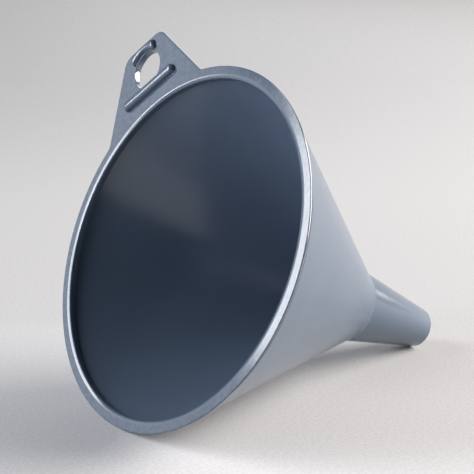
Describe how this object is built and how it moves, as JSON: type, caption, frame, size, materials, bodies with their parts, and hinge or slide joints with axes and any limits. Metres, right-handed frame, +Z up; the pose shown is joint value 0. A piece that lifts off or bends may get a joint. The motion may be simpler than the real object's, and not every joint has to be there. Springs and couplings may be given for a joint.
{
  "type": "funnel",
  "caption": "Pouring funnel moulded in one piece, with a wide cone, a tapered stem, a rim flange and a flat hang tab, lying on its side.",
  "frame": {"origin": "centre of the bounding box on the table surface that the funnel lies on", "axes": "+X from the mouth towards the stem's tip, +Z up from the table; the funnel's axis lies in a plane parallel to XZ and slopes down towards the stem"},
  "size_m": [0.136, 0.1226, 0.1174],
  "materials": {
    "moulded_plastic": "semi-gloss slate-blue polypropylene with a fine moulded grain"
  },
  "bodies": {
    "root": {"rim_flange": "moulded_plastic", "rim_bead": "moulded_plastic", "cone_wall": "moulded_plastic", "neck": "moulded_plastic", "stem": "moulded_plastic", "hang_tab": "moulded_plastic", "tab_rib_inner": "moulded_plastic", "tab_rib_outer": "moulded_plastic"}
  },
  "joints": []
}
